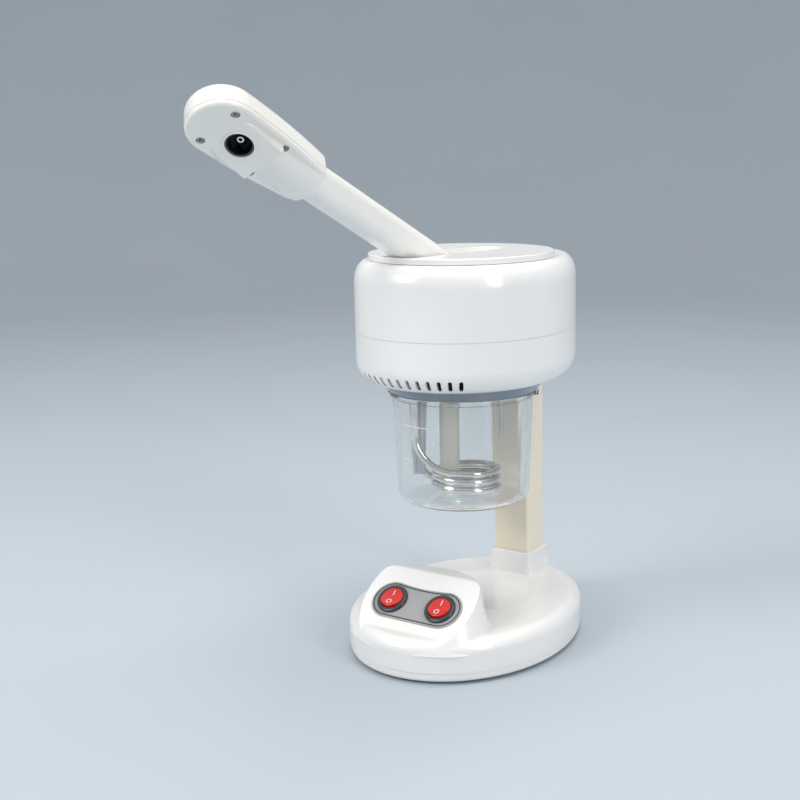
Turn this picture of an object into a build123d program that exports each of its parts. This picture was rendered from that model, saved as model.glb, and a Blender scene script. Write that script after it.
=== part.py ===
from build123d import *
import math
import os

# A table-top facial steamer, in millimetres. Z is up, the floor is z = 0, the switches face -Y
# and the post stands at +Y. The shapes are built about the axis that the head, the turntable
# and the water jar share; ORIGIN_SHIFT then moves them so that the origin is under the middle
# of the whole object.

ORIGIN_SHIFT = 59.3

# Base
BASE_HALF_WIDTH = 83.0
BASE_FRONT = 103.0
BASE_BACK = 110.0
BASE_WALL = 2.6
PLATE_TOP = 9.0            # parting line between the shell and the bottom plate
PLATE_BOTTOM = 2.0
DECK_TOP = 32.0
SHOULDER_ROUND = 9.0
DISH_DEPTH = 4.0
FOOT_RADIUS = 8.0
FOOT_PLACES = [(-48, -62), (48, -62), (-48, 68), (48, 68)]
BASE_SCREW_PLACES = [(-60, -30), (60, -30), (-58, 40), (58, 40)]

# Control console: a mound whose front is cut by the tilted panel plane
PANEL_TILT = 36.0
PANEL_Y = -68.0
PANEL_Z = 46.0
PANEL_LENGTH = 76.0
PANEL_WIDTH = 31.0
PANEL_THICK = 0.8
SWITCH_SPACING = 42.0
BEZEL_RADIUS = 12.0
BEZEL_HEIGHT = 2.2
SWITCH_BODY_RADIUS = 9.8
SWITCH_BODY_DEPTH = 15.0
ROCKER_RADIUS = 8.6
ROCKER_REST_TILT = 7.0

# Post: a rectangular aluminium tube between the base and the head
POST_WIDTH = 31.5
POST_DEPTH = 27.0
POST_WALL = 1.8
POST_Y = 85.0
POST_FOOT = 12.0
POST_TOP = 280.0
COLLAR_TOP = 49.5
POST_SCREW_Z = 18.0
BRACKET_SCREW_Z = [222.0, 234.0]

# Head housing: an egg-shaped plan, blunt at the front and longer over the post
HEAD_HALF_WIDTH = 78.5
HEAD_FRONT = 82.0
HEAD_BACK = 104.5
HEAD_WALL = 2.5
HEAD_BOTTOM = 206.0
HEAD_SEAM = 244.0
HEAD_TOP = 296.5
LOWER_ROUND = 16.5
UPPER_ROUND = 9.5
UPPER_STRETCH = 1.7        # the top shoulder is taller than it is wide
HEAD_SCREW_PLACES = [(-65, 8), (65, 8), (-46, 62), (46, 62)]
VENT_COUNT = 12
VENT_PITCH = 5.7
VENT_WIDTH = 3.0
VENT_LOW = 209.5
VENT_HIGH = 217.0

# Turntable and its bearing in the top of the head
TABLE_RADIUS = 69.0
TABLE_TOP = 301.2
TABLE_GAP = 0.3
HUB_RADIUS = 60.0
BORE_CLEARANCE = 0.3
TURN_AZIMUTH = 12.0        # the arm points this far to the left of straight ahead
SLOT_WIDTH = 30.0
SLOT_BACK = 40.0
TRAY_FLOOR = 288.0         # the slot is closed behind the arm by a shallow tray
TRAY_START = 18.0
TRAY_WALL = 2.0

# Arm and its pivot pin
PIVOT_Z = 277.5
PIN_RADIUS = 3.0
PIN_CLEARANCE = 0.05
ARM_TILT = 29.5
ARM_WIDTH = 26.0
ARM_HEIGHT = 23.0
ARM_WALL = 2.0
ARM_TAIL = 12.0
ARM_CORNER = 8.0
JOINT_S = 165.0            # along the arm, from the pivot to the nozzle head
SPIGOT_RADIUS = 8.0
SPIGOT_CLEARANCE = 0.08

# Nozzle head: a teardrop of two shells, turned about the arm
NOZZLE_TURN = 33.0
NOZZLE_TIP = 264.5
NOZZLE_RADIUS = 23.5
NECK_HALF_WIDTH = 17.5
NOZZLE_TOP = 13.0
NOZZLE_PARTING = -4.5
NOZZLE_FACE = -8.5
NOZZLE_WALL = 2.0
OUTLET_S = 227.0
OUTLET_RADIUS = 8.4
OUTLET_LIP = 1.3           # the white rim round the dark cup
OUTLET_TILT = 12.0
STEP_S = 206.0
STEP_DEPTH = -15.5
NOZZLE_SCREW_PLACES = [(-15.5, 203), (15.5, 203), (-15.5, 245), (15.5, 245)]

# Water jar and the fittings above it
JAR_TOP_RADIUS = 53.4
JAR_LOW_RADIUS = 49.8
JAR_BOTTOM = 113.0
JAR_WALL = 2.4
JAR_CORNER = 8.0
FLANGE_RADIUS = 55.4
FLANGE_LOW = 193.5
FLANGE_TOP = 197.5
NECK_RADIUS = 51.4
NECK_TOP = 210.5
RING_BORE = 51.8
RING_LOW = 198.0
RING_LOW_RADIUS = 56.0
RING_HIGH_RADIUS = 63.2
LID_LOW = 213.0
LID_THICK = 4.0
LID_RADIUS = 60.0

# Heater: a plated tube with two legs and a level coil
HEATER_RADIUS = 2.8
COIL_RADIUS = 24.0
COIL_PITCH = 6.4
COIL_TOP = 137.0
COIL_TURN = 210.0 + 2 * 360.0
COIL_START = -105.0
LEG_BEND = 29.0
VIEW_TURN = 32.0           # the heater legs stand to the left of the front, by this turn

# Fittings under the lid, placed in the heater's turned frame
RETURN_PLACE = (-10.5, 2)
PROBE_PLACE = (29, 2)
GUARD_PLACE = (-34, 1)
PORT_PLACE = (2, 30)
LID_SCREW_RADIUS = 54.8

os.makedirs("parts", exist_ok=True)


def save(shape, node):
    """Write one node, moved so that the origin is under the middle of the object."""
    export_step(Pos(0, ORIGIN_SHIFT, 0) * shape, f"parts/{node}.step")


def egg(half_width, front, back, z):
    """A level egg-shaped face: two half ellipses that share their width."""
    plane = Plane.XY.offset(z)
    rear = Edge.make_ellipse(half_width, back, plane, 0, 180)
    fore = Edge.make_ellipse(half_width, front, plane, 180, 360)
    return Face(Wire([rear, fore]))


def disc(radius, low, high):
    """A level cylinder between two heights."""
    return Pos(0, 0, low) * Cylinder(radius, high - low, align=(Align.CENTER, Align.CENTER, Align.MIN))


def ring(outer, inner, low, high):
    """A level washer between two heights."""
    return disc(outer, low, high) - disc(inner, low - 1, high + 1)


def block(x, y, z, place=(0, 0, 0)):
    """A box that stands on its place."""
    return Pos(*place) * Box(x, y, z, align=(Align.CENTER, Align.CENTER, Align.MIN))


def screw(radius, head_radius, length, head_height):
    """A pan-head screw pointing down, with its head's underside at z = 0 and a cross recess."""
    shank = Pos(0, 0, -length / 2) * Cylinder(radius, length)
    head = disc(head_radius, 0, head_height)
    head = fillet(head.edges().group_by(Axis.Z)[-1], head_height * 0.4)
    arm = head_radius * 1.1
    slot = head_radius * 0.28
    depth = head_height * 0.55
    cross = block(arm, slot, depth, (0, 0, head_height - depth))
    cross += block(slot, arm, depth, (0, 0, head_height - depth))
    return shank + head - cross


# ---------------------------------------------------------------- base

panel_place = Pos(0, PANEL_Y, PANEL_Z) * Rot(PANEL_TILT, 0, 0)


def mound(inset):
    """The console's mound, cut by the panel plane, smaller all round by the inset."""
    sections = [(60, 45, -58, 22), (52, 37, -60, 36), (47, 31, -57, 50), (40, 22, -50, 70)]
    faces = []
    for half_width, half_length, y, z in sections:
        plane = Plane.XY.offset(z)
        edge = Edge.make_ellipse(half_width - inset, half_length - inset, plane)
        faces.append(Pos(0, y, 0) * Face(Wire([edge])))
    body = loft(faces)
    above = panel_place * block(200, 200, 100, (0, 0, -inset))
    top = block(200, 200, 60, (0, 0, PANEL_Z + 17.5 - inset))
    return body - above - top


def collar_foot():
    """The sleeve that holds the post, flared where it meets the deck."""
    sections = [(60, 44, 24, 12), (44, 36, 32, 8), (38.5, 34, 40, 5), (37.5, 33, COLLAR_TOP, 5)]
    faces = []
    for width, depth, z, corner in sections:
        faces.append(Pos(0, POST_Y, z) * RectangleRounded(width, depth, corner))
    body = loft(faces)
    return fillet(body.edges().group_by(Axis.Z)[-1], 1.2)


def base_shell():
    deck = extrude(egg(BASE_HALF_WIDTH, BASE_FRONT, BASE_BACK, PLATE_TOP), DECK_TOP - PLATE_TOP)
    deck = fillet(deck.edges().group_by(Axis.Z)[-1], SHOULDER_ROUND)
    dish_radius = 260.0
    dish = Pos(0, 18, DECK_TOP - DISH_DEPTH + dish_radius) * Sphere(dish_radius)
    console = mound(0)
    console = fillet(console.edges().group_by(Axis.Z)[-1], 5)
    shell = (deck - dish) + console + collar_foot()
    lower = DECK_TOP - DISH_DEPTH - BASE_WALL
    inner = extrude(
        egg(BASE_HALF_WIDTH - BASE_WALL, BASE_FRONT - BASE_WALL, BASE_BACK - BASE_WALL, PLATE_TOP),
        lower - PLATE_TOP)
    inner = fillet(inner.edges().group_by(Axis.Z)[-1], SHOULDER_ROUND - BASE_WALL)
    hollow = mound(3.0) & block(200, 200, 60, (0, 0, PLATE_TOP))
    shell -= inner
    shell -= hollow
    shell -= block(POST_WIDTH + 0.1, POST_DEPTH + 0.1, 60, (0, POST_Y, PLATE_TOP))
    for x in (-SWITCH_SPACING / 2, SWITCH_SPACING / 2):
        shell -= panel_place * Pos(x, 0, 0) * Cylinder(SWITCH_BODY_RADIUS + 0.1, 30)
    inlet_hole = block(27.2, 30, 20.2 - PLATE_TOP, (0, BASE_BACK - 4, PLATE_TOP))
    shell -= inlet_hole
    for x, y in BASE_SCREW_PLACES:
        post = Pos(x, y, 0) * disc(4.0, PLATE_TOP + 0.2, lower + 1)
        shell += post - Pos(x, y, 0) * disc(1.3, 0, lower - 3)
    return shell


def base_plate():
    outline = egg(BASE_HALF_WIDTH - 0.6, BASE_FRONT - 0.6, BASE_BACK - 0.6, PLATE_BOTTOM)
    plate = extrude(outline, PLATE_TOP - PLATE_BOTTOM)
    plate = fillet(plate.edges().group_by(Axis.Z)[0], 3)
    inside = 3.4
    pocket = extrude(
        egg(BASE_HALF_WIDTH - inside, BASE_FRONT - inside, BASE_BACK - inside, PLATE_BOTTOM + 2.4), 20)
    plate -= pocket
    for x, y in BASE_SCREW_PLACES:
        boss = Pos(x, y, 0) * disc(5.0, PLATE_BOTTOM, PLATE_TOP)
        plate += boss
        plate -= Pos(x, y, 0) * disc(1.7, 0, 20)
        plate -= Pos(x, y, 0) * disc(3.6, 0, 4.5)
    for x, y in FOOT_PLACES:
        plate -= Pos(x, y, 0) * disc(FOOT_RADIUS + 0.1, 0, PLATE_BOTTOM + 1)
    for x in (-24, 24):
        for y in (-16, 20):
            plate += Pos(x, y, 0) * ring(3.0, 1.1, PLATE_BOTTOM + 2, PLATE_TOP + 1)
    return plate


def rubber_feet():
    foot = disc(FOOT_RADIUS, 0, PLATE_BOTTOM + 1)
    foot = fillet(foot.edges().group_by(Axis.Z)[0], 0.8)
    return Compound(children=[Pos(x, y, 0) * foot for x, y in FOOT_PLACES])


def base_screws():
    one = Pos(0, 0, 4.5) * Rot(180, 0, 0) * screw(1.3, 3.0, 13, 2.0)
    return Compound(children=[Pos(x, y, 0) * one for x, y in BASE_SCREW_PLACES])


def control_panel():
    """A waisted plate with round ends over both switches."""
    end = PANEL_WIDTH / 2
    half = PANEL_LENGTH / 2 - end
    outline = Rectangle(2 * half, PANEL_WIDTH)
    for x in (-half, half):
        outline += Pos(x, 0) * Circle(end)
    waist = 150.0
    outline -= Pos(0, end + waist - 1.6) * Circle(waist)
    plate = extrude(outline, PANEL_THICK)
    for x in (-SWITCH_SPACING / 2, SWITCH_SPACING / 2):
        plate -= Pos(x, 0, 0) * Cylinder(SWITCH_BODY_RADIUS + 0.1, 10)
    return panel_place * plate


def switch_place(side):
    return panel_place * Pos(side * SWITCH_SPACING / 2, 0, PANEL_THICK)


def switch_housing(side):
    """A round rocker switch's body: snap-in barrel, domed bezel and a well for the rocker."""
    bezel = disc(BEZEL_RADIUS, 0, BEZEL_HEIGHT)
    bezel = fillet(bezel.edges().group_by(Axis.Z)[-1], 1.4)
    body = bezel + disc(SWITCH_BODY_RADIUS, -SWITCH_BODY_DEPTH, 0)
    body -= disc(ROCKER_RADIUS + 0.5, -6, 10)
    for x in (-3.5, 3.5):
        body += block(0.8, 4.8, 7, (x, 0, -SWITCH_BODY_DEPTH - 7))
    return switch_place(side) * body


def rocker(side):
    """A lens-shaped rocker on two small trunnion ends, one half pressed in."""
    button = disc(ROCKER_RADIUS, -2.6, 3.2)
    button = fillet(button.edges().group_by(Axis.Z)[-1], 0.6)
    hollow = Pos(0, 0, 3.2 + 24.2) * Rot(0, 90, 0) * Cylinder(25, 40)
    button -= hollow
    return switch_place(side) * Rot(-ROCKER_REST_TILT, 0, 0) * button


def mains_inlet():
    """A two-pole inlet socket in the back of the base."""
    width, height = 27.0, 11.0
    front = POST_Y + POST_DEPTH / 2 + 0.8
    depth = BASE_BACK - 0.4 - front
    body = block(width, depth, height, (0, front + depth / 2, PLATE_TOP + 0.1))
    body = fillet(body.edges().filter_by(Axis.Y), 2.0)
    body -= Pos(0, front + 2 + depth / 2, PLATE_TOP + 0.1 + height / 2) * Box(20, depth, 7.4)
    for x in (-4.4, 4.4):
        pin = Pos(x, front + 4.5, PLATE_TOP + 0.1 + height / 2) * Rot(90, 0, 0) * Cylinder(1.2, 8)
        body += pin
    return body


def control_board():
    board = block(60, 46, 1.6, (0, 2, PLATE_TOP + 1))
    for x in (-24, 24):
        for y in (-16, 20):
            board -= Pos(x, y, 0) * disc(1.2, 0, 30)
    board += block(18, 14, 10, (-14, 6, PLATE_TOP + 2.6))
    board += block(12, 18, 8, (14, 4, PLATE_TOP + 2.6))
    board += Pos(0, -14, 0) * disc(3.4, PLATE_TOP + 2.6, PLATE_TOP + 14)
    return board


def board_screws():
    one = Pos(0, 0, PLATE_TOP + 2.6) * screw(1.1, 2.1, 5, 1.4)
    return Compound(children=[Pos(x, y, 0) * one for x in (-24, 24) for y in (-16, 20)])


# ---------------------------------------------------------------- post

def post_tube():
    height = POST_TOP - POST_FOOT
    outer = extrude(RectangleRounded(POST_WIDTH, POST_DEPTH, 2.0), height)
    inner = extrude(RectangleRounded(POST_WIDTH - 2 * POST_WALL, POST_DEPTH - 2 * POST_WALL, 0.8), height)
    tube = Pos(0, POST_Y, POST_FOOT) * (outer - inner)
    tube -= Pos(0, POST_Y, POST_SCREW_Z) * Rot(0, 90, 0) * Cylinder(1.3, 60)
    for z in BRACKET_SCREW_Z:
        tube -= Pos(0, POST_Y - POST_DEPTH / 2, z) * Rot(90, 0, 0) * Cylinder(1.3, 10)
    return tube


def post_foot_bracket():
    """A channel inside the post's foot, screwed down to the bottom plate."""
    width = POST_WIDTH - 2 * POST_WALL - 0.2
    depth = 18.0
    channel = block(width, depth, 27, (0, POST_Y, PLATE_BOTTOM + 2.4))
    channel -= block(width - 3.6, depth + 2, 40, (0, POST_Y, PLATE_BOTTOM + 4.4))
    channel -= Pos(0, POST_Y, POST_SCREW_Z) * Rot(0, 90, 0) * Cylinder(1.3, 60)
    return channel


def post_head_bracket():
    """An angle that ties the front of the post to the head's floor."""
    front = POST_Y - POST_DEPTH / 2
    floor = HEAD_BOTTOM + HEAD_WALL
    angle = block(26, 2, 34, (0, front - 1, floor)) + block(26, 8, 2, (0, front - 4, floor))
    for z in BRACKET_SCREW_Z:
        angle -= Pos(0, front, z) * Rot(90, 0, 0) * Cylinder(1.3, 10)
    for x in (-8, 8):
        angle -= Pos(x, front - 5, 0) * disc(1.3, floor - 1, floor + 10)
    return angle


def post_screws():
    """Side screws at the foot, front screws and floor screws at the head bracket."""
    one = screw(1.3, 2.6, 5.5, 1.8)
    front = POST_Y - POST_DEPTH / 2
    floor = HEAD_BOTTOM + HEAD_WALL
    screws = []
    for side in (-1, 1):
        place = Pos(side * POST_WIDTH / 2, POST_Y, POST_SCREW_Z)
        screws.append(place * Rot(0, 90 * side, 0) * one)
    for z in BRACKET_SCREW_Z:
        screws.append(Pos(0, front - 2, z) * Rot(90, 0, 0) * one)
    short = screw(1.3, 2.4, 4.2, 1.6)
    for x in (-8, 8):
        screws.append(Pos(x, front - 5, floor + 2) * short)
    return Compound(children=screws)


# ---------------------------------------------------------------- head

def head_block(inset, height, round_radius, stretch):
    """An egg-shaped block on z = 0 with its top edge rounded, stretched upwards."""
    face = egg(HEAD_HALF_WIDTH - inset, HEAD_FRONT - inset, HEAD_BACK - inset, 0)
    body = extrude(face, height / stretch)
    body = fillet(body.edges().group_by(Axis.Z)[-1], round_radius)
    return scale(body, by=(1, 1, stretch)) if stretch != 1 else body


def head_lower_housing():
    height = HEAD_SEAM - HEAD_BOTTOM
    outer = Pos(0, 0, HEAD_SEAM) * mirror(head_block(0, height, LOWER_ROUND, 1), Plane.XY)
    inner = mirror(head_block(HEAD_WALL, height - HEAD_WALL, LOWER_ROUND - HEAD_WALL, 1), Plane.XY)
    shell = outer - Pos(0, 0, HEAD_SEAM) * inner
    shell -= disc(58.0, HEAD_BOTTOM - 5, HEAD_BOTTOM + 10)
    shell -= block(POST_WIDTH + 0.2, POST_DEPTH + 0.2, 60, (0, POST_Y, HEAD_BOTTOM - 10))
    for x in (-8, 8):
        shell -= Pos(x, POST_Y - POST_DEPTH / 2 - 5, 0) * disc(1.3, HEAD_BOTTOM - 5, HEAD_BOTTOM + 5)
    middle = (VENT_COUNT - 1) / 2
    for index in range(VENT_COUNT):
        angle = (index - middle) * VENT_PITCH
        slot = Pos(0, -72, (VENT_LOW + VENT_HIGH) / 2) * Rot(90, 0, 0)
        bar = slot * extrude(SlotOverall(VENT_HIGH - VENT_LOW, VENT_WIDTH, rotation=90), 16, both=True)
        shell -= Rot(0, 0, angle) * bar
    for x, y in HEAD_SCREW_PLACES:
        boss = Pos(x, y, 0) * ring(4.0, 1.7, HEAD_BOTTOM + 1.5, HEAD_SEAM - 1)
        shell += boss & outer
        shell -= Pos(x, y, 0) * disc(1.7, HEAD_BOTTOM - 5, HEAD_SEAM)
        shell -= Pos(x, y, 0) * disc(3.4, HEAD_BOTTOM - 5, HEAD_BOTTOM + 12)
    return shell


def head_upper_housing():
    height = HEAD_TOP - HEAD_SEAM
    outer = head_block(0, height, UPPER_ROUND, UPPER_STRETCH)
    inner = head_block(HEAD_WALL, height - HEAD_WALL, UPPER_ROUND - HEAD_WALL, UPPER_STRETCH)
    shell = Pos(0, 0, HEAD_SEAM) * (outer - inner)
    shell -= disc(HUB_RADIUS + BORE_CLEARANCE, HEAD_TOP - 10, HEAD_TOP + 10)
    for x, y in HEAD_SCREW_PLACES:
        boss = Pos(x, y, 0) * ring(4.0, 1.3, HEAD_SEAM - 0.9, HEAD_SEAM + 16)
        outward = Rot(0, 0, math.degrees(math.atan2(y, x)))
        rib = Pos(x, y, HEAD_SEAM + 1) * outward * block(20, 2.4, 14, (13.5, 0, 0))
        shell += boss
        shell += rib & Pos(0, 0, HEAD_SEAM) * outer
    return shell


def head_screws():
    one = Pos(0, 0, HEAD_BOTTOM + 12) * Rot(180, 0, 0) * screw(1.3, 2.9, 34, 2.0)
    return Compound(children=[Pos(x, y, 0) * one for x, y in HEAD_SCREW_PLACES])


# ---------------------------------------------------------------- jar and boiler

def jar():
    """A clear tapered jar with a stop flange and a plain neck that seats in the ring."""
    low = JAR_BOTTOM
    outer = loft([
        Pos(0, 0, low) * Circle(JAR_LOW_RADIUS),
        Pos(0, 0, FLANGE_LOW + 1) * Circle(JAR_TOP_RADIUS)])
    outer = fillet(outer.edges().group_by(Axis.Z)[0], JAR_CORNER)
    flange = disc(FLANGE_RADIUS, FLANGE_LOW, FLANGE_TOP)
    flange = fillet(flange.edges(), 0.9)
    body = outer + flange + disc(NECK_RADIUS, FLANGE_TOP - 1, NECK_TOP)
    inner = loft([
        Pos(0, 0, low + JAR_WALL) * Circle(JAR_LOW_RADIUS - JAR_WALL),
        Pos(0, 0, FLANGE_LOW) * Circle(NECK_RADIUS - JAR_WALL + 0.6)])
    inner = fillet(inner.edges().group_by(Axis.Z)[0], JAR_CORNER - JAR_WALL)
    body -= inner
    body -= disc(NECK_RADIUS - JAR_WALL, FLANGE_LOW - 0.1, NECK_TOP + 1)
    for turn in range(0, 360, 90):
        tab = block(9, 3.4, FLANGE_TOP - FLANGE_LOW - 1, (0, -FLANGE_RADIUS - 0.2, FLANGE_LOW + 0.5))
        body += Rot(0, 0, turn + 24) * fillet(tab.edges().filter_by(Axis.Z), 1.2)
    return body


def jar_seal():
    return ring(NECK_RADIUS - 0.2, NECK_RADIUS - 2.2, NECK_TOP + 0.3, LID_LOW - 0.2)


def jar_ring():
    """The grey collar: a cone below the housing and a spigot that fills its hole."""
    cone = loft([
        Pos(0, 0, RING_LOW) * Circle(RING_LOW_RADIUS),
        Pos(0, 0, HEAD_BOTTOM) * Circle(RING_HIGH_RADIUS)])
    body = cone + disc(57.8, HEAD_BOTTOM - 1, LID_LOW)
    body -= disc(RING_BORE, 0, 400)
    for turn in range(4):
        body -= Rot(0, 0, 45 + 90 * turn) * Pos(LID_SCREW_RADIUS, 0, 0) * disc(1.3, LID_LOW - 9, LID_LOW + 1)
    return body


def heater_path():
    """Leg, bend, descending coil, bend and leg, each tangent to the next."""
    slope = math.atan2(COIL_PITCH, 2 * math.pi * COIL_RADIUS)
    start = math.radians(COIL_START)
    end = start + math.radians(COIL_TURN)
    drop = COIL_PITCH * COIL_TURN / 360
    low = COIL_TOP - drop
    coil = Helix(COIL_PITCH, drop, COIL_RADIUS, center=(0, 0, low), direction=(0, 0, 1), lefthand=True)
    coil = Rot(0, 0, math.degrees(end)) * coil
    first = Vector(COIL_RADIUS * math.cos(start), COIL_RADIUS * math.sin(start), COIL_TOP)
    last = Vector(COIL_RADIUS * math.cos(end), COIL_RADIUS * math.sin(end), low)
    into = Vector(-math.sin(start), math.cos(start), -math.tan(slope)).normalized()
    out = Vector(-math.sin(end), math.cos(end), -math.tan(slope)).normalized()
    bend_in = leg(first, into * -1)
    bend_out = leg(last, out)
    return bend_in, coil, bend_out


def leg(point, direction):
    """From a coil end: a short straight run, a bend up and a vertical leg to above the lid."""
    run = 5.0
    corner = point + direction * run
    flat = math.hypot(direction.X, direction.Y)
    rise = math.asin(direction.Z)
    turn = math.pi / 2 - rise
    reach = LEG_BEND * math.tan(turn / 2)
    apex = corner + direction * reach
    top = Vector(apex.X, apex.Y, apex.Z + reach)
    middle_angle = rise + turn / 2
    centre = top + Vector(-direction.X / flat, -direction.Y / flat, 0) * LEG_BEND
    away = Vector(direction.X / flat * math.sin(middle_angle), direction.Y / flat * math.sin(middle_angle),
                  -math.cos(middle_angle))
    arc = ThreePointArc(corner, centre + away * LEG_BEND, top)
    line = Line(top, Vector(top.X, top.Y, LID_LOW + LID_THICK + 14))
    return [Line(point, corner), arc, line]



def heater_coil():
    """The two legs and the coil of plated tube, joined end to end."""
    bend_in, coil, bend_out = heater_path()
    tube = sweep_tube(Wire([line.edge() for line in bend_in]), HEATER_RADIUS)
    tube += sweep_tube(Wire([line.edge() for line in bend_out]), HEATER_RADIUS)
    tube += sweep_tube(Wire([coil.edge()]), HEATER_RADIUS)
    for x, y in leg_places():
        tube += Pos(x, y, 0) * disc(4.4, LID_LOW - 1.6, LID_LOW - 0.1)
    return heater_place * tube


def sweep_tube(path, radius):
    plane = Plane(origin=path @ 0, z_dir=path % 0)
    return sweep(plane * Circle(radius), path=path)


heater_place = Rot(0, 0, VIEW_TURN) * Pos(2, 0, 0)


def leg_places():
    """Where the heater's legs pass the lid, in the heater's own frame."""
    places = []
    bend_in, coil, bend_out = heater_path()
    for bend in (bend_in, bend_out):
        top = bend[2] @ 1
        places.append((top.X, top.Y))
    return places


def heater_nuts():
    nut = extrude(RegularPolygon(5.5, 6), 4.5) - Cylinder(HEATER_RADIUS, 30)
    nut = Pos(0, 0, LID_LOW + LID_THICK) * nut
    return Compound(children=[heater_place * Pos(x, y, 0) * nut for x, y in leg_places()])




def view_pos(place):
    """A place in the jar, given in the heater's turned frame."""
    return Rot(0, 0, VIEW_TURN) * Pos(place[0], place[1], 0)


def return_pipe():
    """The condensate pipe that hangs into the middle of the coil."""
    pipe = ring(7.6, 6.0, COIL_TOP - 9, LID_LOW + LID_THICK + 12)
    pipe += ring(10.0, 6.0, LID_LOW + LID_THICK, LID_LOW + LID_THICK + 2)
    return view_pos(RETURN_PLACE) * pipe


def level_probe():
    """A thin rod that senses the water level, in its insulating bush."""
    rod = disc(1.15, 160, LID_LOW + LID_THICK + 12)
    bush = ring(3.0, 1.15, LID_LOW - 3, LID_LOW + LID_THICK + 4)
    bush += ring(4.6, 1.15, LID_LOW + LID_THICK, LID_LOW + LID_THICK + 2)
    return [view_pos(PROBE_PLACE) * rod, view_pos(PROBE_PLACE) * bush]


def thermostat_guard():
    """A ribbed strip of sheet metal behind the heater legs, with its fixing foot on the lid."""
    low, high = 131, LID_LOW - 0.1
    outline = Polygon((-4.6, low), (4.6, low), (7.5, high), (-7.5, high), align=None)
    strip = Pos(0, 0.45, 0) * Rot(90, 0, 0) * extrude(outline, 0.9)
    for x in (-3.1, 3.1):
        strip += Pos(x, 0, 0) * disc(1.6, low + 2, high - 2)
    strip += block(15, 7, 1.2, (0, 3.1, LID_LOW - 1.3))
    strip -= Pos(0, 3.6, 0) * disc(1.3, LID_LOW - 5, LID_LOW + 5)
    return view_pos(GUARD_PLACE) * strip


def thermostat():
    """The boil-dry sensor: a slim capsule clipped inside the guard."""
    capsule = Pos(0, 2.6, 0) * disc(2.0, 133, LID_LOW - 4)
    capsule = fillet(capsule.edges().group_by(Axis.Z)[0], 1.4)
    return view_pos(GUARD_PLACE) * capsule


def boiler_lid():
    lid = disc(LID_RADIUS, LID_LOW, LID_LOW + LID_THICK)
    lid = fillet(lid.edges().group_by(Axis.Z)[-1], 1)
    for x, y in leg_places():
        lid -= heater_place * Pos(x, y, 0) * Cylinder(HEATER_RADIUS, 600)
    lid -= view_pos(RETURN_PLACE) * Cylinder(7.6, 600)
    lid -= view_pos(PROBE_PLACE) * Cylinder(3.0, 600)
    lid -= view_pos(PORT_PLACE) * Cylinder(7.0, 600)
    for turn in range(4):
        lid -= Rot(0, 0, 45 + 90 * turn) * Pos(LID_SCREW_RADIUS, 0, 0) * Cylinder(1.7, 600)
    return lid


def lid_screws():
    one = Pos(LID_SCREW_RADIUS, 0, LID_LOW + LID_THICK) * screw(1.3, 2.7, 10, 1.8)
    return Compound(children=[Rot(0, 0, 45 + 90 * turn) * one for turn in range(4)])


def steam_port():
    """A flanged spout on the lid that the steam hose is pushed over."""
    low = LID_LOW + LID_THICK
    spout = ring(7.0, 5.4, LID_LOW, low + 14) + ring(10.5, 5.4, low, low + 2)
    return view_pos(PORT_PLACE) * spout


def steam_hose():
    """A ribbed silicone hose from the port up towards the arm's tail."""
    low = LID_LOW + LID_THICK + 3
    hose = ring(9.0, 7.0, low, 254)
    for index in range(7):
        hose += ring(10.2, 8.0, low + 3 + 4.6 * index, low + 5.2 + 4.6 * index)
    return view_pos(PORT_PLACE) * hose


# ---------------------------------------------------------------- turntable

table_place = Rot(0, 0, -TURN_AZIMUTH)


def arm_slot(width, low, high):
    """The slot that the arm swings in, open towards the arm and round at the back."""
    front = TABLE_RADIUS - 3.5
    length = front + SLOT_BACK - width / 2
    middle = (SLOT_BACK - width / 2 - front) / 2
    cut = block(width, length, high - low, (0, middle, low))
    return cut + Pos(0, SLOT_BACK - width / 2, 0) * disc(width / 2, low, high)


def turntable():
    low = HEAD_TOP + TABLE_GAP
    top = disc(TABLE_RADIUS, low, TABLE_TOP)
    top = fillet(top.edges().group_by(Axis.Z)[-1], 1.0)
    hub = ring(HUB_RADIUS, HUB_RADIUS - 8, HEAD_TOP - HEAD_WALL - 0.3, low)
    body = top + hub
    ear_face = SLOT_WIDTH / 2
    for side in (-1, 1):
        ear = block(4, 26, low - PIVOT_Z, (side * (ear_face + 2), 0, PIVOT_Z))
        ear += Pos(side * (ear_face + 2), 0, PIVOT_Z) * Rot(0, 90, 0) * Cylinder(9, 4)
        body += ear
    tray = arm_slot(SLOT_WIDTH + 2 * TRAY_WALL, TRAY_FLOOR - TRAY_WALL, low + 1)
    body += tray & block(80, 60, 60, (0, TRAY_START + 30, TRAY_FLOOR - TRAY_WALL))
    body -= arm_slot(SLOT_WIDTH, TRAY_FLOOR, 320)
    body -= arm_slot(SLOT_WIDTH, 260, 320) - block(80, 60, 60, (0, TRAY_START + 30, 260))
    body -= Pos(0, 0, PIVOT_Z) * Rot(0, 90, 0) * Cylinder(PIN_RADIUS, 80)
    for turn in (45, 135, 225, 315):
        body -= Rot(0, 0, turn) * Pos(HUB_RADIUS - 4, 0, 0) * disc(1.3, 280, low)
    return table_place * body


def turntable_retainer():
    """A flat ring below the housing's top that keeps the turntable in."""
    high = HEAD_TOP - HEAD_WALL - 0.3
    body = ring(HUB_RADIUS + 4.5, HUB_RADIUS - 8, high - 2, high)
    body -= arm_slot(SLOT_WIDTH, 260, 320)
    for turn in (45, 135, 225, 315):
        body -= Rot(0, 0, turn) * Pos(HUB_RADIUS - 4, 0, 0) * disc(1.7, 280, 300)
    return table_place * body


def retainer_screws():
    place = Pos(HUB_RADIUS - 4, 0, HEAD_TOP - HEAD_WALL - 2.3) * Rot(180, 0, 0)
    one = place * screw(1.3, 2.7, 4.6, 1.8)
    return Compound(children=[table_place * Rot(0, 0, turn) * one for turn in (45, 135, 225, 315)])


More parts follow.
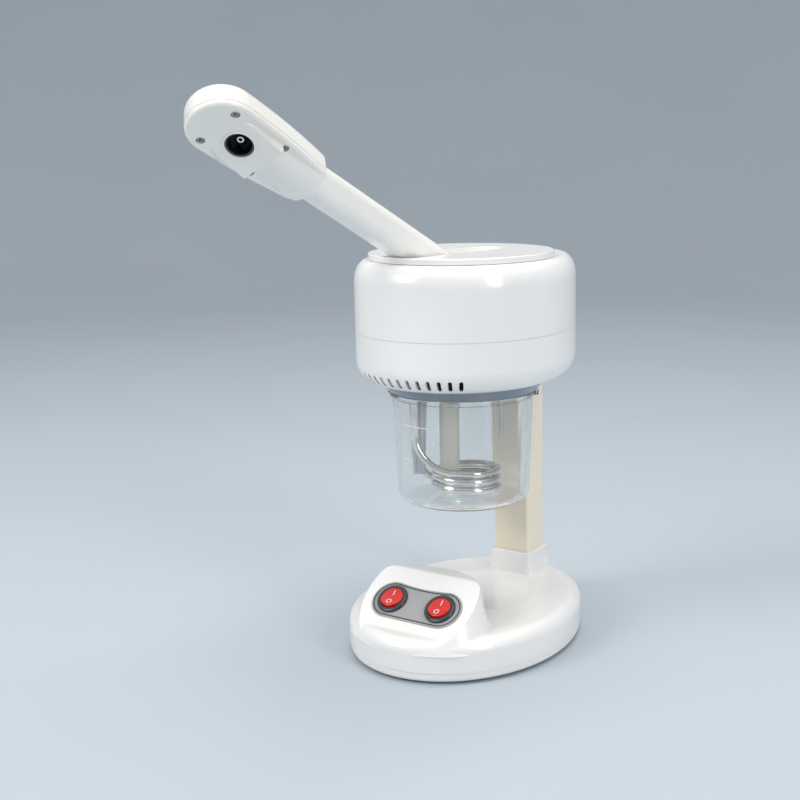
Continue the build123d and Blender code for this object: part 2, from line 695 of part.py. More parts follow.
def pivot_pin():
    ends = SLOT_WIDTH / 2 + 5.5
    pin = Rot(0, 90, 0) * Cylinder(PIN_RADIUS, 2 * ends)
    pin = chamfer(pin.edges(), 0.5)
    return table_place * Pos(0, 0, PIVOT_Z) * pin


def pin_clips():
    clip = Rot(0, 90, 0) * ring(5.2, PIN_RADIUS, 0, 0.8)
    far = SLOT_WIDTH / 2 + 4.05
    place = table_place * Pos(0, 0, PIVOT_Z)
    return Compound(children=[place * Pos(far, 0, 0) * clip, place * Pos(-far - 0.8, 0, 0) * clip])


# ---------------------------------------------------------------- arm

arm_place = table_place * Pos(0, 0, PIVOT_Z) * Rot(-ARM_TILT, 0, 0)


def along_arm(sketch, start, end):
    """A sketch across the arm, extruded between two distances from the pivot."""
    plane = Plane(origin=(0, -start, 0), x_dir=(1, 0, 0), z_dir=(0, -1, 0))
    return extrude(plane * sketch, end - start)


def arm_section(inset):
    return RectangleRounded(ARM_WIDTH - 2 * inset, ARM_HEIGHT - 2 * inset, ARM_CORNER - inset)


def arm_tube():
    end = JOINT_S - 0.4
    tube = along_arm(arm_section(0), -ARM_TAIL, end) - along_arm(arm_section(ARM_WALL), -ARM_TAIL - 1, end + 1)
    tube -= Rot(0, 90, 0) * Cylinder(PIN_RADIUS + 2.0, 80)
    return arm_place * tube


def pivot_bushes():
    """Flanged bushes in the arm's sides that run on the pivot pin."""
    bush = ring(PIN_RADIUS + 2.0, PIN_RADIUS + PIN_CLEARANCE, ARM_WIDTH / 2 - 4, ARM_WIDTH / 2)
    bush += ring(6.5, PIN_RADIUS + PIN_CLEARANCE, ARM_WIDTH / 2, SLOT_WIDTH / 2 - 0.3)
    bush = Rot(0, 90, 0) * bush
    return Compound(children=[arm_place * bush, arm_place * Rot(0, 0, 180) * bush])


def arm_end_plug():
    """The bearing block inside the arm's end."""
    end = JOINT_S - 0.4
    bore = SPIGOT_RADIUS + SPIGOT_CLEARANCE
    return arm_place * (along_arm(arm_section(ARM_WALL), end - 14, end) - along_arm(Circle(bore), 0, end + 1))


def arm_steam_duct():
    """The insulated inner hose along the arm."""
    hose = Circle(6.5) - Circle(5.0)
    return arm_place * along_arm(hose, 10, JOINT_S - 16)


# ---------------------------------------------------------------- nozzle head

nozzle_place = arm_place * Rot(0, -NOZZLE_TURN, 0)


def teardrop(inset, low, high):
    """The nozzle's outline in plan, extruded between two heights."""
    half = NECK_HALF_WIDTH - inset
    radius = NOZZLE_RADIUS - inset
    centre = -(NOZZLE_TIP - NOZZLE_RADIUS)
    end = -(JOINT_S + inset)
    lines = [
        Line((-half, end), (half, end)),
        TangentArc((radius, centre), (half, end), tangent=(0, 1)),
        ThreePointArc((-radius, centre), (0, centre - radius), (radius, centre)),
        TangentArc((-radius, centre), (-half, end), tangent=(0, 1))]
    face = Face(Wire([line.edge() for line in lines]))
    return extrude(Pos(0, 0, low) * face, high - low, dir=(0, 0, 1))


def nozzle_upper_shell():
    outer = teardrop(0, NOZZLE_PARTING, NOZZLE_TOP)
    outer = fillet(outer.edges().group_by(Axis.Z)[-1], 9.0)
    outer = fillet(outer.edges().filter_by(Axis.Z), 3.0)
    inner = teardrop(NOZZLE_WALL, NOZZLE_PARTING - 1, NOZZLE_TOP - NOZZLE_WALL)
    inner = fillet(inner.edges().group_by(Axis.Z)[-1], 7.0)
    shell = outer - inner
    shell -= along_arm(Circle(SPIGOT_RADIUS), JOINT_S - 5, JOINT_S + 10)
    for x, s in NOZZLE_SCREW_PLACES:
        boss = Pos(x, -s, 0) * ring(3.4, 1.2, NOZZLE_PARTING, NOZZLE_TOP - 1)
        shell += boss & outer
        shell -= Pos(x, -s, 0) * disc(1.2, NOZZLE_PARTING - 1, 6)
    return nozzle_place * shell


def outlet_height():
    """How far the boss's sloping face stands below the arm's axis at the outlet."""
    return STEP_DEPTH + (OUTLET_S - STEP_S) * math.tan(math.radians(OUTLET_TILT))


outlet_place = Pos(0, -OUTLET_S, outlet_height()) * Rot(-OUTLET_TILT, 0, 0)


def nozzle_boss(inset):
    """The raised D-shaped boss: round towards the tip, straight towards the arm, face sloping."""
    radius = 17.5 - inset
    boss = Pos(0, -(OUTLET_S + 1), -24) * Cylinder(radius, 22, align=(Align.CENTER, Align.CENTER, Align.MIN))
    depth = OUTLET_S + 1 - STEP_S - inset
    boss += block(2 * radius, depth, 22, (0, -(STEP_S + inset + depth / 2), -24))
    below = outlet_place * Pos(0, 0, inset) * block(90, 90, 40, (0, 0, -40))
    return boss - below


def neck_cone(inset, start, end):
    """The rounded underside of the neck, getting shallower from the arm to the step."""
    ends = [(start, NECK_HALF_WIDTH + 1.1, 14.6), (end, NECK_HALF_WIDTH + 1.9, 11.5)]
    faces = []
    for s, half_width, depth in ends:
        plane = Plane(origin=(0, -s, 0), x_dir=(1, 0, 0), z_dir=(0, -1, 0))
        faces.append(Face(Wire([Edge.make_ellipse(half_width - inset, depth - inset, plane)])))
    return loft(faces) & block(80, 300, 40, (0, -200, NOZZLE_PARTING - 0.4 - 40))


def nozzle_lower_cover():
    rim = teardrop(0.3, NOZZLE_FACE, NOZZLE_PARTING)
    rim = fillet(rim.edges().group_by(Axis.Z)[0], 2.4)
    boss = nozzle_boss(0)
    boss = fillet(boss.faces().sort_by(Axis.Z)[0].edges(), 1.6)
    boss &= block(90, 300, 40, (0, -200, NOZZLE_PARTING - 0.5 - 40))
    cover = rim + boss + neck_cone(0, JOINT_S, STEP_S + 2)
    cavity = teardrop(3.0, NOZZLE_FACE + 1.8, 1)
    cavity += nozzle_boss(2.0) & block(80, 300, 40, (0, -200, -40))
    cavity += neck_cone(2.0, JOINT_S + 2, STEP_S - 2)
    for x, s in NOZZLE_SCREW_PLACES:
        cavity -= Pos(x, -s, 0) * disc(4.2, -30, 5)
    cover -= cavity
    cover -= along_arm(Circle(SPIGOT_RADIUS), JOINT_S - 5, JOINT_S + 10)
    cover += outlet_place * disc(OUTLET_RADIUS + 1.0 + OUTLET_LIP, -0.7, 1.5)
    cover -= outlet_place * Cylinder(OUTLET_RADIUS + 1.0, 40)
    for x, s in NOZZLE_SCREW_PLACES:
        cover -= Pos(x, -s, 0) * disc(1.5, -40, 0)
        cover -= Pos(x, -s, 0) * disc(3.0, -40, NOZZLE_PARTING - 1.6)
    return nozzle_place * cover


def nozzle_screws():
    one = Pos(0, 0, NOZZLE_PARTING - 1.6) * Rot(180, 0, 0) * screw(1.2, 2.6, 8, 1.6)
    return Compound(children=[nozzle_place * Pos(x, -s, 0) * one for x, s in NOZZLE_SCREW_PLACES])


def nozzle_cup():
    """The dark cup behind the outlet."""
    cup = disc(OUTLET_RADIUS + 1.0, 0.8, 14) - disc(OUTLET_RADIUS - 0.4, 0, 12.4)
    cup -= disc(2.4, 10, 20)
    return nozzle_place * outlet_place * cup


def nozzle_jet():
    jet = ring(2.4, 1.2, 5.5, 16.0)
    jet = fillet(jet.edges().group_by(Axis.Z)[0], 0.3)
    return nozzle_place * outlet_place * jet


def swivel_spigot():
    """The tube that the nozzle turns on, with a stop flange inside the nozzle."""
    spigot = along_arm(Circle(SPIGOT_RADIUS), JOINT_S - 14, JOINT_S + 7)
    spigot += along_arm(Circle(SPIGOT_RADIUS + 1.2), JOINT_S + 4, JOINT_S + 6)
    spigot -= along_arm(Circle(SPIGOT_RADIUS - 1.8), 0, 300)
    return nozzle_place * spigot


def ozone_lamp():
    """A short glass lamp in its holder, across the steam path."""
    lamp = Rot(0, 90, 0) * Cylinder(3.6, 24)
    lamp = fillet(lamp.edges(), 2.0)
    return nozzle_place * Pos(0, -(JOINT_S + 22), 1.5) * lamp


NODES = {
    "base_shell": base_shell,
    "base_plate": base_plate,
    "rubber_feet": rubber_feet,
    "base_screws": base_screws,
    "control_panel": control_panel,
    "mains_inlet": mains_inlet,
    "control_board": control_board,
    "board_screws": board_screws,
    "post_tube": post_tube,
    "post_foot_bracket": post_foot_bracket,
    "post_head_bracket": post_head_bracket,
    "post_screws": post_screws,
    "head_lower_housing": head_lower_housing,
    "head_upper_housing": head_upper_housing,
    "head_screws": head_screws,
    "jar": jar,
    "jar_seal": jar_seal,
    "jar_ring": jar_ring,
    "boiler_lid": boiler_lid,
    "lid_screws": lid_screws,
    "heater_coil": heater_coil,
    "heater_nuts": heater_nuts,
    "thermostat_guard": thermostat_guard,
    "thermostat": thermostat,
    "return_pipe": return_pipe,
    "steam_port": steam_port,
    "steam_hose": steam_hose,
    "turntable": turntable,
    "turntable_retainer": turntable_retainer,
    "retainer_screws": retainer_screws,
    "pivot_pin": pivot_pin,
    "pin_clips": pin_clips,
    "arm_tube": arm_tube,
    "pivot_bushes": pivot_bushes,
    "arm_end_plug": arm_end_plug,
    "arm_steam_duct": arm_steam_duct,
    "nozzle_upper_shell": nozzle_upper_shell,
    "nozzle_lower_cover": nozzle_lower_cover,
    "nozzle_screws": nozzle_screws,
    "nozzle_cup": nozzle_cup,
    "nozzle_jet": nozzle_jet,
    "swivel_spigot": swivel_spigot,
    "ozone_lamp": ozone_lamp,
}

for node, build in NODES.items():
    save(build(), node)
for side, name in ((-1, "left"), (1, "right")):
    save(switch_housing(side), f"{name}_switch_housing")
    save(rocker(side), f"{name}_rocker")
rod, bush = level_probe()
save(rod, "level_probe")
save(bush, "probe_bush")
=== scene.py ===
import bpy
import bmesh
import math
from mathutils import Matrix, Vector


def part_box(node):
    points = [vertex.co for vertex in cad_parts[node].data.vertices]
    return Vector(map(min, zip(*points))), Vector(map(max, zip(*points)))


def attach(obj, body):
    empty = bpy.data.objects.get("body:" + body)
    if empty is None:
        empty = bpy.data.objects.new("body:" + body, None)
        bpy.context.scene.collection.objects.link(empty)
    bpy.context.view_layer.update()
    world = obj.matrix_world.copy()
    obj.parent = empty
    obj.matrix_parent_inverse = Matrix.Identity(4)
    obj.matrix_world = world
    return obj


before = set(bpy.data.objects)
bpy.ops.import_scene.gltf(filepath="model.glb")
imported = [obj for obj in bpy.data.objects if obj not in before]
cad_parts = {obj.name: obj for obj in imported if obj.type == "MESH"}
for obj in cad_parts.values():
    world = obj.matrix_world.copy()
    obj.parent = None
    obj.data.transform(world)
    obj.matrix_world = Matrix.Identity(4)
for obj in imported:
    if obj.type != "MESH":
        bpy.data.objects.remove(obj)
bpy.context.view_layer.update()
scene = bpy.context.scene

# the upright axis shared by the head, the turntable and the jar
tableLow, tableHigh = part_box("turntable")
headAxis = Vector((0, (tableLow[1] + tableHigh[1]) / 2, 0))


# ---- shader helpers

class Sock:
    # one socket; arithmetic on it adds Math nodes
    def __init__(self, mat, out):
        self.mat, self.out = mat, out

    def _op(self, operation, a, b):
        return self.mat.node("ShaderNodeMath", {"operation": operation}, {0: a, 1: b})

    def __add__(self, other):
        return self._op("ADD", self, other)

    def __radd__(self, other):
        return self._op("ADD", other, self)

    def __mul__(self, other):
        return self._op("MULTIPLY", self, other)

    def __rmul__(self, other):
        return self._op("MULTIPLY", other, self)

    def smooth(self, low, high):
        settings = {"interpolation_type": "SMOOTHSTEP"}
        values = {"Value": self, "From Min": low, "From Max": high}
        return self.mat.node("ShaderNodeMapRange", settings, values)


class Finish:
    # a material with one Principled shader
    def __init__(self, name, **constants):
        self.material = bpy.data.materials.new(name)
        self.material.use_nodes = True
        self.tree = self.material.node_tree
        self.shader = self.tree.nodes["Principled BSDF"]
        self.coords = self.node("ShaderNodeTexCoord", {}, {}, "Object")
        for key, value in constants.items():
            self.shader.inputs[key.replace("_", " ")].default_value = value

    def node(self, kind, settings, values, output=0):
        made = self.tree.nodes.new(kind)
        for key, value in settings.items():
            setattr(made, key, value)
        for key, value in values.items():
            if isinstance(value, Sock):
                self.tree.links.new(value.out, made.inputs[key])
            else:
                made.inputs[key].default_value = value
        return Sock(self, made.outputs[output])

    def drive(self, name, sock):
        self.tree.links.new(sock.out, self.shader.inputs[name])

    def noise(self, scale, detail=3, stretch=(1, 1, 1)):
        place = self.node("ShaderNodeMapping", {}, {"Vector": self.coords, "Scale": stretch})
        return self.node("ShaderNodeTexNoise", {}, {"Vector": place, "Scale": scale, "Detail": detail})

    def mix(self, factor, a, b):
        return self.node("ShaderNodeMix", {"data_type": "RGBA"}, {"Factor": factor, 6: a, 7: b}, 2)

    def bump(self, height, strength, distance):
        values = {"Height": height, "Strength": strength, "Distance": distance}
        self.drive("Normal", self.node("ShaderNodeBump", {}, values))


def rgb(r, g, b):
    return (r, g, b, 1)


# ---- finishes

mouldedLook = {
    "white": rgb(0.87, 0.865, 0.86),
    "shade": rgb(0.83, 0.828, 0.825),
    "cream": rgb(0.87, 0.86, 0.825),
    "creamShade": rgb(0.81, 0.79, 0.745),
    "postCream": rgb(0.90, 0.83, 0.68),
    "postShade": rgb(0.86, 0.78, 0.62),
    "roughness": 0.22,
}


def moulded(name, light, dark, roughness, coat=0.35):
    # injection-moulded gloss plastic: faint flow shade, soft scuffs and a slight waviness
    look = Finish(name, Coat_Weight=coat, Coat_Roughness=0.08, IOR=1.5)
    flow = look.noise(9, 2, (1, 1, 0.5)).smooth(0.35, 0.7)
    look.drive("Base Color", look.mix(flow, light, dark))
    scuff = look.noise(240, 4).smooth(0.62, 0.85)
    haze = look.noise(38, 3)
    look.drive("Roughness", roughness + haze * 0.06 + scuff * 0.05)
    look.bump(look.noise(45, 1) * 0.6 + look.noise(700, 1) * 0.04, 0.05, 0.0004)
    return look.material


def painted(name, light, dark):
    # powder-coated tube: fine even grain
    look = Finish(name, Coat_Weight=0.15, Coat_Roughness=0.2)
    look.drive("Base Color", look.mix(look.noise(14, 3), light, dark))
    look.drive("Roughness", 0.32 + look.noise(300, 4) * 0.12)
    look.bump(look.noise(1500, 3), 0.18, 0.0002)
    return look.material


def metal(name, colour, tint, roughness, grain=(1, 1, 1), scale=300):
    look = Finish(name, Metallic=1.0)
    look.drive("Base Color", look.mix(look.noise(45, 3).smooth(0.35, 0.7), colour, tint))
    streak = look.noise(scale, 4, grain)
    look.drive("Roughness", roughness + streak * 0.14)
    look.bump(streak, 0.10, 0.0002)
    return look.material


def matte(name, colour, dark, roughness=0.55, scale=700):
    look = Finish(name, IOR=1.48)
    look.drive("Base Color", look.mix(look.noise(30, 3).smooth(0.3, 0.75), colour, dark))
    look.drive("Roughness", roughness + look.noise(90, 3) * 0.12)
    look.bump(look.noise(scale, 3), 0.22, 0.0003)
    return look.material


def clearPlastic(name, tint, roughness):
    look = Finish(name, IOR=1.46, Transmission_Weight=0.97)
    look.drive("Base Color", look.mix(look.noise(20, 2), tint, rgb(0.97, 0.985, 0.985)))
    wipe = look.noise(26, 4, (1, 1, 0.35)).smooth(0.5, 0.85)
    look.drive("Roughness", roughness + wipe * 0.05)
    look.bump(look.noise(35, 2), 0.05, 0.0006)
    return look.material


def rockerRed(name):
    glow = {"Subsurface_Weight": 0.12, "Subsurface_Radius": (0.004, 0.001, 0.001)}
    look = Finish(name, IOR=1.5, Coat_Weight=0.6, Coat_Roughness=0.05, **glow)
    look.drive("Base Color", look.mix(look.noise(160, 3), rgb(0.74, 0.012, 0.010), rgb(0.56, 0.006, 0.008)))
    look.drive("Roughness", 0.16 + look.noise(220, 3) * 0.08)
    look.bump(look.noise(800, 2), 0.06, 0.0002)
    return look.material


finishes = {
    "white": moulded("whiteShell", mouldedLook["white"], mouldedLook["shade"], mouldedLook["roughness"]),
    "cream": moulded("armWhite", mouldedLook["cream"], mouldedLook["creamShade"], 0.2),
    "post": painted("postPaint", mouldedLook["postCream"], mouldedLook["postShade"]),
    "panel": matte("panelGrey", rgb(0.36, 0.36, 0.38), rgb(0.30, 0.30, 0.32), 0.34),
    "bezel": moulded("bezelBlack", rgb(0.030, 0.042, 0.047), rgb(0.018, 0.026, 0.030), 0.22),
    "cup": moulded("cupBlack", rgb(0.012, 0.013, 0.016), rgb(0.006, 0.006, 0.008), 0.08, 0.8),
    "rocker": rockerRed("rockerRed"),
    "ring": moulded("ringGrey", rgb(0.20, 0.245, 0.29), rgb(0.16, 0.20, 0.24), 0.28),
    "jar": clearPlastic("jarClear", rgb(0.985, 0.99, 0.99), 0.02),
    "lamp": clearPlastic("lampGlass", rgb(0.9, 0.95, 1.0), 0.04),
    "chrome": metal("heaterChrome", rgb(0.80, 0.79, 0.77), rgb(0.66, 0.62, 0.56), 0.08),
    "steel": metal("sheetSteel", rgb(0.62, 0.62, 0.63), rgb(0.50, 0.50, 0.52), 0.26, (1, 1, 0.05), 500),
    "screw": metal("screwZinc", rgb(0.42, 0.42, 0.44), rgb(0.33, 0.34, 0.37), 0.3),
    "pipe": matte("pipeCream", rgb(0.93, 0.90, 0.80), rgb(0.88, 0.84, 0.72), 0.38),
    "silicone": matte("silicone", rgb(0.74, 0.73, 0.70), rgb(0.66, 0.65, 0.61), 0.5),
    "rubber": matte("footRubber", rgb(0.035, 0.035, 0.037), rgb(0.02, 0.02, 0.02), 0.7, 1400),
    "board": matte("boardGreen", rgb(0.02, 0.15, 0.06), rgb(0.015, 0.10, 0.05), 0.4),
    "seam": matte("seamGrey", rgb(0.56, 0.56, 0.56), rgb(0.48, 0.48, 0.48), 0.5),
    "ink": matte("printDark", rgb(0.045, 0.055, 0.06), rgb(0.03, 0.035, 0.04), 0.4),
    # white for the printed rocker marks, and for the painted highlight arcs on the jar
    "markAndGlintWhite": matte("markAndGlintWhite", rgb(0.88, 0.86, 0.84), rgb(0.80, 0.78, 0.76), 0.4),
}

nodeFinish = {
    "white": ["base_shell", "base_plate", "head_lower_housing", "head_upper_housing", "turntable",
              "turntable_retainer"],
    "cream": ["arm_tube", "arm_end_plug", "nozzle_upper_shell", "nozzle_lower_cover"],
    "post": ["post_tube"],
    "panel": ["control_panel"],
    "bezel": ["left_switch_housing", "right_switch_housing", "mains_inlet"],
    "cup": ["nozzle_cup"],
    "rocker": ["left_rocker", "right_rocker"],
    "ring": ["jar_ring"],
    "jar": ["jar"],
    "lamp": ["ozone_lamp"],
    "chrome": ["heater_coil", "heater_nuts", "nozzle_jet"],
    "steel": ["thermostat_guard", "thermostat", "level_probe", "post_foot_bracket", "post_head_bracket",
              "pivot_pin", "pin_clips"],
    "screw": ["base_screws", "board_screws", "head_screws", "lid_screws", "post_screws",
              "retainer_screws", "nozzle_screws"],
    "pipe": ["return_pipe", "boiler_lid", "steam_port", "probe_bush", "pivot_bushes", "swivel_spigot"],
    "silicone": ["steam_hose", "arm_steam_duct", "jar_seal"],
    "rubber": ["rubber_feet"],
    "board": ["control_board"],
}

for key, names in nodeFinish.items():
    for name in names:
        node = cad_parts[name]
        if not node.material_slots:
            node.data.materials.append(None)
        for materialSlot in node.material_slots:
            materialSlot.material = finishes[key]
print("finishes set on", sum(len(names) for names in nodeFinish.values()), "nodes")


# ---- piece helpers

def finishPiece(name, bm, finish, body):
    # turns a bmesh into a named piece on a body
    bmesh.ops.remove_doubles(bm, verts=bm.verts, dist=1e-6)
    bmesh.ops.recalc_face_normals(bm, faces=bm.faces)
    mesh = bpy.data.meshes.new(name)
    bm.to_mesh(mesh)
    bm.free()
    piece = bpy.data.objects.new(name, mesh)
    scene.collection.objects.link(piece)
    mesh.materials.append(finish)
    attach(piece, body)


# ---- control panel: its printed border and the marks on the rockers

panelPlace = {
    "tilt": math.radians(36),
    "origin": headAxis + Vector((0, -0.068, 0.046)),
    "spacing": 0.042,
    "thick": 0.0008,
}
onPanel = Matrix.Translation(panelPlace["origin"]) @ Matrix.Rotation(panelPlace["tilt"], 4, "X")

borderLook = {
    "halfLength": 0.038,
    "halfWidth": 0.0155,
    "waist": 0.0016,
    "width": 0.0010,
    "inset": 0.0012,
    "thick": 0.00012,
    "sunk": 0.00002,
    "steps": 24,
}


def panelOutline(inset):
    # the waisted outline of the panel, as points around it
    end = borderLook["halfWidth"] - inset
    half = borderLook["halfLength"] - borderLook["halfWidth"]
    steps = borderLook["steps"]
    points = []
    for step in range(steps + 1):
        angle = math.radians(-90 + 180 * step / steps)
        points.append(Vector((half + end * math.cos(angle), end * math.sin(angle), 0)))
    for step in range(1, steps):
        x = half - 2 * half * step / steps
        points.append(Vector((x, end - borderLook["waist"] * (1 - (x / half) ** 2), 0)))
    for step in range(steps + 1):
        angle = math.radians(90 + 180 * step / steps)
        points.append(Vector((-half + end * math.cos(angle), end * math.sin(angle), 0)))
    for step in range(1, steps):
        points.append(Vector((-half + 2 * half * step / steps, -end, 0)))
    return points


def panelBorder():
    bm = bmesh.new()
    outer = [bm.verts.new(p) for p in panelOutline(borderLook["inset"])]
    inner = [bm.verts.new(p) for p in panelOutline(borderLook["inset"] + borderLook["width"])]
    outerEdges = [bm.edges.new((outer[i - 1], outer[i])) for i in range(len(outer))]
    innerEdges = [bm.edges.new((inner[i - 1], inner[i])) for i in range(len(inner))]
    made = bmesh.ops.bridge_loops(bm, edges=outerEdges + innerEdges)
    raised = bmesh.ops.extrude_face_region(bm, geom=made["faces"])
    top = [v for v in raised["geom"] if isinstance(v, bmesh.types.BMVert)]
    bmesh.ops.translate(bm, verts=top, vec=(0, 0, borderLook["thick"]))
    bmesh.ops.translate(bm, verts=bm.verts, vec=(0, 0, panelPlace["thick"] - borderLook["sunk"]))
    bmesh.ops.transform(bm, matrix=onPanel, verts=bm.verts)
    finishPiece("panel_border", bm, finishes["ink"], "stand")


markLook = {
    "ring": 0.0021,
    "line": 0.00055,
    "bar": 0.0042,
    "offset": 0.0042,
    "height": 0.0001,
    "thick": 0.0001,
    "dishRadius": 0.025,
    "dishCentre": 0.0274,
    "restTilt": math.radians(-7),
}


def rockerMarks(side, name):
    # a ring on the lower half and a bar on the upper half, printed on the dished face
    bm = bmesh.new()
    ring = bmesh.ops.create_circle(bm, segments=28, radius=markLook["ring"])
    edges = list({e for v in ring["verts"] for e in v.link_edges})
    grown = bmesh.ops.extrude_edge_only(bm, edges=edges)
    moved = [v for v in grown["geom"] if isinstance(v, bmesh.types.BMVert)]
    shrink = 1 - markLook["line"] / markLook["ring"]
    bmesh.ops.scale(bm, vec=(shrink, shrink, 1), verts=moved)
    bmesh.ops.translate(bm, verts=bm.verts, vec=(0, -markLook["offset"], 0))
    bar = bmesh.ops.create_grid(bm, x_segments=1, y_segments=6, size=0.5)
    bmesh.ops.scale(bm, vec=(markLook["line"] * 1.2, markLook["bar"], 1), verts=bar["verts"])
    bmesh.ops.translate(bm, verts=bar["verts"], vec=(0, markLook["offset"] * 0.95, 0))
    for vert in bm.verts:
        # the face is a hollow cylinder about the tilt axis
        vert.co.z = markLook["dishCentre"] - math.sqrt(markLook["dishRadius"] ** 2 - vert.co.y ** 2)
        vert.co.z += markLook["height"]
    place = onPanel @ Matrix.Translation((side * panelPlace["spacing"] / 2, 0, panelPlace["thick"]))
    bmesh.ops.transform(bm, matrix=place @ Matrix.Rotation(markLook["restTilt"], 4, "X"), verts=bm.verts)
    bmesh.ops.solidify(bm, geom=bm.faces[:], thickness=markLook["thick"])
    finishPiece(f"{name}_marks", bm, finishes["markAndGlintWhite"], name)


seamLook = {
    "halfWidth": 0.0785,
    "front": 0.082,
    "back": 0.1045,
    "z": 0.244,
    "height": 0.00022,
    "proud": 0.00006,
    "thick": 0.0005,
    "steps": 144,
}


def headSeam():
    # the shadow line where the two halves of the head meet
    bm = bmesh.new()
    rings = []
    for z in (seamLook["z"] - seamLook["height"], seamLook["z"] + seamLook["height"]):
        points = []
        for step in range(seamLook["steps"]):
            angle = math.radians(360 / seamLook["steps"] * step)
            depth = seamLook["back"] if math.sin(angle) > 0 else seamLook["front"]
            x = (seamLook["halfWidth"] + seamLook["proud"]) * math.cos(angle)
            y = (depth + seamLook["proud"]) * math.sin(angle)
            points.append(bm.verts.new(headAxis + Vector((x, y, z))))
        rings.append([bm.edges.new((points[i - 1], points[i])) for i in range(len(points))])
    bmesh.ops.bridge_loops(bm, edges=rings[0] + rings[1])
    bmesh.ops.recalc_face_normals(bm, faces=bm.faces)
    bmesh.ops.solidify(bm, geom=bm.faces[:], thickness=seamLook["thick"])
    finishPiece("head_seam", bm, finishes["seam"], "stand")


# where the painted highlight arcs sit on the jar's wall
glintLook = {
    "heights": [0.176, 0.150],
    "facing": -58,
    "start": -58,
    "stops": [-30, -48],
    "width": 0.0003,
    "proud": 0.00008,
    "thick": 0.0002,
    "topRadius": 0.0534,
    "lowRadius": 0.0498,
    "neck": 0.013,
    "steps": 16,
}


def jarGlintLines():
    # white arcs on the jar's wall, towards the left of the front: painted highlight lines standing in for
    # light glinting on the clear wall
    low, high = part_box("jar")
    topRadius, lowRadius = glintLook["topRadius"], glintLook["lowRadius"]
    start, steps = glintLook["start"], glintLook["steps"]
    bm = bmesh.new()
    for z, stop in zip(glintLook["heights"], glintLook["stops"]):
        lines = []
        for height in (z, z + glintLook["width"] * 2):
            rise = (height - low[2]) / (high[2] - glintLook["neck"] - low[2])
            radius = lowRadius + (topRadius - lowRadius) * rise + glintLook["proud"]
            points = []
            for step in range(steps + 1):
                turn = math.radians(glintLook["facing"] + start + (stop - start) * step / steps)
                point = headAxis + Vector((radius * math.cos(turn), radius * math.sin(turn), height))
                points.append(bm.verts.new(point))
            lines.append([bm.edges.new((points[i - 1], points[i])) for i in range(1, len(points))])
        bmesh.ops.bridge_loops(bm, edges=lines[0] + lines[1])
    bmesh.ops.recalc_face_normals(bm, faces=bm.faces)
    bmesh.ops.solidify(bm, geom=bm.faces[:], thickness=glintLook["thick"])
    finishPiece("jar_glint_lines", bm, finishes["markAndGlintWhite"], "jar")


headSeam()
# white arcs on the jar: painted highlight
jarGlintLines()
panelBorder()
rockerMarks(-1, "left_rocker")
rockerMarks(1, "right_rocker")
# the arcs on the jar are painted highlight lines
print("seam, painted glint lines, panel line and rocker marks made")


# ---- camera

cameraLook = {
    "distance": 0.952,
    "height": 0.382,
    "azimuth": math.radians(32),
    "yaw": -0.050,
    "pitch": 0.200,
    "roll": -0.023,
    "lens": 57.6,
}


def placeCamera():
    camera = bpy.data.objects.new("camera", bpy.data.cameras.new("camera"))
    scene.collection.objects.link(camera)
    camera.data.lens = cameraLook["lens"]
    camera.data.sensor_width = 36
    camera.data.clip_start = 0.01
    turn = cameraLook["azimuth"]
    spot = Vector((math.sin(turn), -math.cos(turn), 0)) * cameraLook["distance"]
    heading = Matrix.Rotation(turn - cameraLook["yaw"], 4, "Z")
    tip = Matrix.Rotation(math.pi / 2 - cameraLook["pitch"], 4, "X")
    roll = Matrix.Rotation(cameraLook["roll"], 4, "Z")
    spot += headAxis + Vector((0, 0, cameraLook["height"]))
    camera.matrix_world = Matrix.Translation(spot) @ heading @ tip @ roll
    scene.camera = camera


placeCamera()
print("camera placed")


# ---- studio: pale floor and backdrop, soft light

studioLook = {
    "paper": rgb(0.46, 0.52, 0.58),
    "paperShade": rgb(0.43, 0.49, 0.55),
    "sky": rgb(0.93, 0.91, 0.88),
    "skyStrength": 0.85,
    "flatRadius": 2.2,
    "sweepRadius": 1.6,
    "rim": 3.0,
}


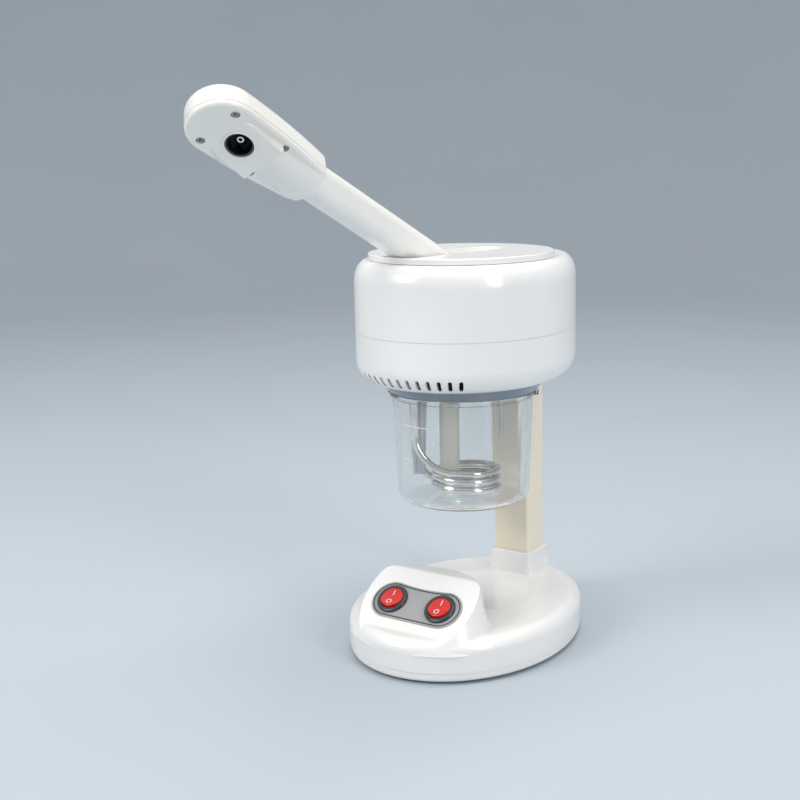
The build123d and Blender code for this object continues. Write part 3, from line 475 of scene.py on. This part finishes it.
def studioFloor():
    # a round paper sweep: flat under the object and curved up all round it
    flat, sweep = studioLook["flatRadius"], studioLook["sweepRadius"]
    profile = [Vector((0, 0, 0)), Vector((flat, 0, 0))]
    for step in range(1, 13):
        angle = math.radians(7.5 * step)
        profile.append(Vector((flat + sweep * math.sin(angle), 0, sweep * (1 - math.cos(angle)))))
    profile.append(Vector((flat + sweep, 0, studioLook["rim"])))
    bm = bmesh.new()
    points = [bm.verts.new(p) for p in profile]
    edges = [bm.edges.new((points[i - 1], points[i])) for i in range(1, len(points))]
    bmesh.ops.spin(bm, geom=points + edges, cent=(0, 0, 0), axis=(0, 0, 1), angle=math.tau, steps=72,
                   use_merge=True)
    bmesh.ops.remove_doubles(bm, verts=bm.verts, dist=1e-5)
    for face in bm.faces:
        face.smooth = True
    bmesh.ops.recalc_face_normals(bm, faces=bm.faces)
    mesh = bpy.data.meshes.new("floor")
    bm.to_mesh(mesh)
    bm.free()
    floor = bpy.data.objects.new("floor", mesh)
    scene.collection.objects.link(floor)
    paper = Finish("floorPaper", Roughness=0.75)
    paper.drive("Base Color", paper.mix(paper.noise(3, 2), studioLook["paper"], studioLook["paperShade"]))
    mesh.materials.append(paper.material)


def softLight(name, place, aim, size, power, colour):
    lamp = bpy.data.objects.new(name, bpy.data.lights.new(name, "AREA"))
    scene.collection.objects.link(lamp)
    lamp.data.shape = "RECTANGLE"
    lamp.data.size, lamp.data.size_y = size
    lamp.data.energy = power
    lamp.data.color = colour
    lamp.location = place
    lamp.rotation_euler = (Vector(aim) - Vector(place)).to_track_quat("-Z", "Y").to_euler()


lightLook = {
    "keySoftbox": ((-0.9, -1.5, 1.3), (0, 0, 0.22), (0.9, 1.1), 21, (1, 0.97, 0.93)),
    "fillSoftbox": ((1.7, -0.5, 0.9), (0, 0, 0.2), (0.5, 1.2), 12, (1, 0.97, 0.93)),
    "topSoftbox": ((0.1, 0.2, 1.8), (0, 0, 0.2), (1.2, 1.2), 17, (1, 0.98, 0.95)),
}

studioFloor()
for name, values in lightLook.items():
    softLight(name, *values)
world = bpy.data.worlds.new("studioAir")
world.use_nodes = True
world.node_tree.nodes["Background"].inputs["Color"].default_value = studioLook["sky"]
world.node_tree.nodes["Background"].inputs["Strength"].default_value = studioLook["skyStrength"]
scene.world = world
scene.view_settings.view_transform = "Standard"
print("studio lit")
